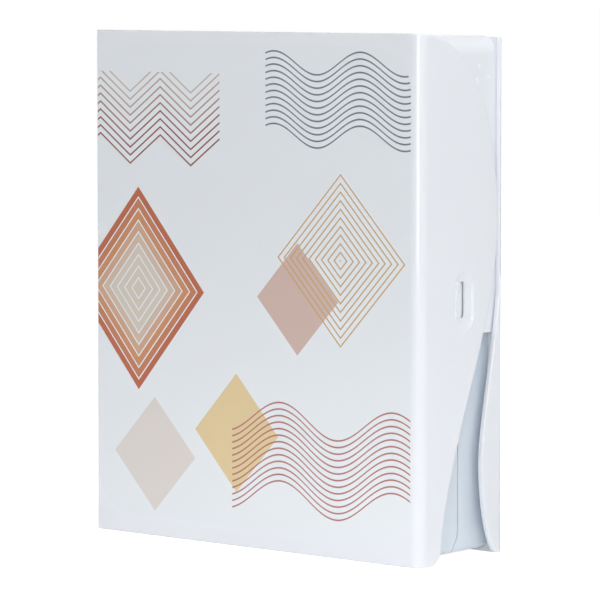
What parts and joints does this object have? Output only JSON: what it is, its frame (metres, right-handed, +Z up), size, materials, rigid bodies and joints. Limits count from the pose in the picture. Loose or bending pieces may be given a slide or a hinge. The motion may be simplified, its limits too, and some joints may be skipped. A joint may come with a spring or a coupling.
{
  "type": "weekly pill organizer",
  "caption": "Book-like weekly pill case: hinged cover with curved flap and release tab, lift-out day boxes with flip-lid dose compartments.",
  "frame": {"origin": "middle of the rectangle that the closed case stands on", "axes": "+Z up along the case's height, -Y out of the front cover, +X towards the opening side"},
  "size_m": [0.154, 0.05, 0.19],
  "materials": {
    "case_white": "glossy moulded white plastic",
    "tray_white": "satin bluish white plastic",
    "box_white": "satin white plastic",
    "lid_clear": "clear bluish plastic",
    "pin_steel": "drawn steel wire",
    "card_paper": "uncoated card"
  },
  "bodies": {
    "rear_case": {"rear_cover": "case_white", "rear_tray": "tray_white", "hinge_pin": "pin_steel"},
    "front_case": {"front_cover": "case_white", "front_tray": "tray_white", "schedule_card": "card_paper"},
    "release": {"release_tab": "case_white"},
    "monday_tray": {"monday_box": "box_white"},
    "monday_morning": {"monday_morning_lid": "lid_clear"},
    "monday_noon": {"monday_noon_lid": "lid_clear"},
    "monday_evening": {"monday_evening_lid": "lid_clear"},
    "monday_night": {"monday_night_lid": "lid_clear"},
    "tuesday_tray": {"tuesday_box": "box_white"},
    "tuesday_morning": {"tuesday_morning_lid": "lid_clear"},
    "tuesday_noon": {"tuesday_noon_lid": "lid_clear"},
    "tuesday_evening": {"tuesday_evening_lid": "lid_clear"},
    "tuesday_night": {"tuesday_night_lid": "lid_clear"},
    "wednesday_tray": {"wednesday_box": "box_white"},
    "wednesday_morning": {"wednesday_morning_lid": "lid_clear"},
    "wednesday_noon": {"wednesday_noon_lid": "lid_clear"},
    "wednesday_evening": {"wednesday_evening_lid": "lid_clear"},
    "wednesday_night": {"wednesday_night_lid": "lid_clear"},
    "thursday_tray": {"thursday_box": "box_white"},
    "thursday_morning": {"thursday_morning_lid": "lid_clear"},
    "thursday_noon": {"thursday_noon_lid": "lid_clear"},
    "thursday_evening": {"thursday_evening_lid": "lid_clear"},
    "thursday_night": {"thursday_night_lid": "lid_clear"},
    "friday_tray": {"friday_box": "box_white"},
    "friday_morning": {"friday_morning_lid": "lid_clear"},
    "friday_noon": {"friday_noon_lid": "lid_clear"},
    "friday_evening": {"friday_evening_lid": "lid_clear"},
    "friday_night": {"friday_night_lid": "lid_clear"},
    "saturday_tray": {"saturday_box": "box_white"},
    "saturday_morning": {"saturday_morning_lid": "lid_clear"},
    "saturday_noon": {"saturday_noon_lid": "lid_clear"},
    "saturday_evening": {"saturday_evening_lid": "lid_clear"},
    "saturday_night": {"saturday_night_lid": "lid_clear"},
    "sunday_tray": {"sunday_box": "box_white"},
    "sunday_morning": {"sunday_morning_lid": "lid_clear"},
    "sunday_noon": {"sunday_noon_lid": "lid_clear"},
    "sunday_evening": {"sunday_evening_lid": "lid_clear"},
    "sunday_night": {"sunday_night_lid": "lid_clear"}
  },
  "joints": [
    {"name": "cover_hinge", "type": "hinge", "parent": "rear_case", "child": "front_case", "pos_m": [-0.074, 0.0048, 0.095], "axis": [0, 0, -1], "range_deg": [0, 180]},
    {"name": "release_press", "type": "slide", "parent": "rear_case", "child": "release", "axis": [-1, 0, 0], "range_m": [0, 0.0012], "stiffness_N_per_m": 600},
    {"name": "monday_slide", "type": "slide", "parent": "rear_case", "child": "monday_tray", "axis": [0, -1, 0], "range_m": [0, 0.02]},
    {"name": "monday_morning_flip", "type": "hinge", "parent": "monday_tray", "child": "monday_morning", "pos_m": [-0.05053, 0.0057, 0.1793], "axis": [-1, 0, 0], "range_deg": [0, 100]},
    {"name": "monday_noon_flip", "type": "hinge", "parent": "monday_tray", "child": "monday_noon", "pos_m": [-0.01657, 0.0057, 0.1793], "axis": [-1, 0, 0], "range_deg": [0, 100]},
    {"name": "monday_evening_flip", "type": "hinge", "parent": "monday_tray", "child": "monday_evening", "pos_m": [0.01738, 0.0057, 0.1793], "axis": [-1, 0, 0], "range_deg": [0, 100]},
    {"name": "monday_night_flip", "type": "hinge", "parent": "monday_tray", "child": "monday_night", "pos_m": [0.05133, 0.0057, 0.1793], "axis": [-1, 0, 0], "range_deg": [0, 100]},
    {"name": "tuesday_slide", "type": "slide", "parent": "rear_case", "child": "tuesday_tray", "axis": [0, -1, 0], "range_m": [0, 0.02]},
    {"name": "tuesday_morning_flip", "type": "hinge", "parent": "tuesday_tray", "child": "tuesday_morning", "pos_m": [-0.05053, 0.0057, 0.15453], "axis": [-1, 0, 0], "range_deg": [0, 100]},
    {"name": "tuesday_noon_flip", "type": "hinge", "parent": "tuesday_tray", "child": "tuesday_noon", "pos_m": [-0.01657, 0.0057, 0.15453], "axis": [-1, 0, 0], "range_deg": [0, 100]},
    {"name": "tuesday_evening_flip", "type": "hinge", "parent": "tuesday_tray", "child": "tuesday_evening", "pos_m": [0.01738, 0.0057, 0.15453], "axis": [-1, 0, 0], "range_deg": [0, 100]},
    {"name": "tuesday_night_flip", "type": "hinge", "parent": "tuesday_tray", "child": "tuesday_night", "pos_m": [0.05133, 0.0057, 0.15453], "axis": [-1, 0, 0], "range_deg": [0, 100]},
    {"name": "wednesday_slide", "type": "slide", "parent": "rear_case", "child": "wednesday_tray", "axis": [0, -1, 0], "range_m": [0, 0.02]},
    {"name": "wednesday_morning_flip", "type": "hinge", "parent": "wednesday_tray", "child": "wednesday_morning", "pos_m": [-0.05053, 0.0057, 0.12976], "axis": [-1, 0, 0], "range_deg": [0, 100]},
    {"name": "wednesday_noon_flip", "type": "hinge", "parent": "wednesday_tray", "child": "wednesday_noon", "pos_m": [-0.01657, 0.0057, 0.12976], "axis": [-1, 0, 0], "range_deg": [0, 100]},
    {"name": "wednesday_evening_flip", "type": "hinge", "parent": "wednesday_tray", "child": "wednesday_evening", "pos_m": [0.01738, 0.0057, 0.12976], "axis": [-1, 0, 0], "range_deg": [0, 100]},
    {"name": "wednesday_night_flip", "type": "hinge", "parent": "wednesday_tray", "child": "wednesday_night", "pos_m": [0.05133, 0.0057, 0.12976], "axis": [-1, 0, 0], "range_deg": [0, 100]},
    {"name": "thursday_slide", "type": "slide", "parent": "rear_case", "child": "thursday_tray", "axis": [0, -1, 0], "range_m": [0, 0.02]},
    {"name": "thursday_morning_flip", "type": "hinge", "parent": "thursday_tray", "child": "thursday_morning", "pos_m": [-0.05053, 0.0057, 0.10499], "axis": [-1, 0, 0], "range_deg": [0, 100]},
    {"name": "thursday_noon_flip", "type": "hinge", "parent": "thursday_tray", "child": "thursday_noon", "pos_m": [-0.01657, 0.0057, 0.10499], "axis": [-1, 0, 0], "range_deg": [0, 100]},
    {"name": "thursday_evening_flip", "type": "hinge", "parent": "thursday_tray", "child": "thursday_evening", "pos_m": [0.01738, 0.0057, 0.10499], "axis": [-1, 0, 0], "range_deg": [0, 100]},
    {"name": "thursday_night_flip", "type": "hinge", "parent": "thursday_tray", "child": "thursday_night", "pos_m": [0.05133, 0.0057, 0.10499], "axis": [-1, 0, 0], "range_deg": [0, 100]},
    {"name": "friday_slide", "type": "slide", "parent": "rear_case", "child": "friday_tray", "axis": [0, -1, 0], "range_m": [0, 0.02]},
    {"name": "friday_morning_flip", "type": "hinge", "parent": "friday_tray", "child": "friday_morning", "pos_m": [-0.05053, 0.0057, 0.08021], "axis": [-1, 0, 0], "range_deg": [0, 100]},
    {"name": "friday_noon_flip", "type": "hinge", "parent": "friday_tray", "child": "friday_noon", "pos_m": [-0.01657, 0.0057, 0.08021], "axis": [-1, 0, 0], "range_deg": [0, 100]},
    {"name": "friday_evening_flip", "type": "hinge", "parent": "friday_tray", "child": "friday_evening", "pos_m": [0.01738, 0.0057, 0.08021], "axis": [-1, 0, 0], "range_deg": [0, 100]},
    {"name": "friday_night_flip", "type": "hinge", "parent": "friday_tray", "child": "friday_night", "pos_m": [0.05133, 0.0057, 0.08021], "axis": [-1, 0, 0], "range_deg": [0, 100]},
    {"name": "saturday_slide", "type": "slide", "parent": "rear_case", "child": "saturday_tray", "axis": [0, -1, 0], "range_m": [0, 0.02]},
    {"name": "saturday_morning_flip", "type": "hinge", "parent": "saturday_tray", "child": "saturday_morning", "pos_m": [-0.05053, 0.0057, 0.05544], "axis": [-1, 0, 0], "range_deg": [0, 100]},
    {"name": "saturday_noon_flip", "type": "hinge", "parent": "saturday_tray", "child": "saturday_noon", "pos_m": [-0.01657, 0.0057, 0.05544], "axis": [-1, 0, 0], "range_deg": [0, 100]},
    {"name": "saturday_evening_flip", "type": "hinge", "parent": "saturday_tray", "child": "saturday_evening", "pos_m": [0.01738, 0.0057, 0.05544], "axis": [-1, 0, 0], "range_deg": [0, 100]},
    {"name": "saturday_night_flip", "type": "hinge", "parent": "saturday_tray", "child": "saturday_night", "pos_m": [0.05133, 0.0057, 0.05544], "axis": [-1, 0, 0], "range_deg": [0, 100]},
    {"name": "sunday_slide", "type": "slide", "parent": "rear_case", "child": "sunday_tray", "axis": [0, -1, 0], "range_m": [0, 0.02]},
    {"name": "sunday_morning_flip", "type": "hinge", "parent": "sunday_tray", "child": "sunday_morning", "pos_m": [-0.05053, 0.0057, 0.03067], "axis": [-1, 0, 0], "range_deg": [0, 100]},
    {"name": "sunday_noon_flip", "type": "hinge", "parent": "sunday_tray", "child": "sunday_noon", "pos_m": [-0.01657, 0.0057, 0.03067], "axis": [-1, 0, 0], "range_deg": [0, 100]},
    {"name": "sunday_evening_flip", "type": "hinge", "parent": "sunday_tray", "child": "sunday_evening", "pos_m": [0.01738, 0.0057, 0.03067], "axis": [-1, 0, 0], "range_deg": [0, 100]},
    {"name": "sunday_night_flip", "type": "hinge", "parent": "sunday_tray", "child": "sunday_night", "pos_m": [0.05133, 0.0057, 0.03067], "axis": [-1, 0, 0], "range_deg": [0, 100]}
  ]
}
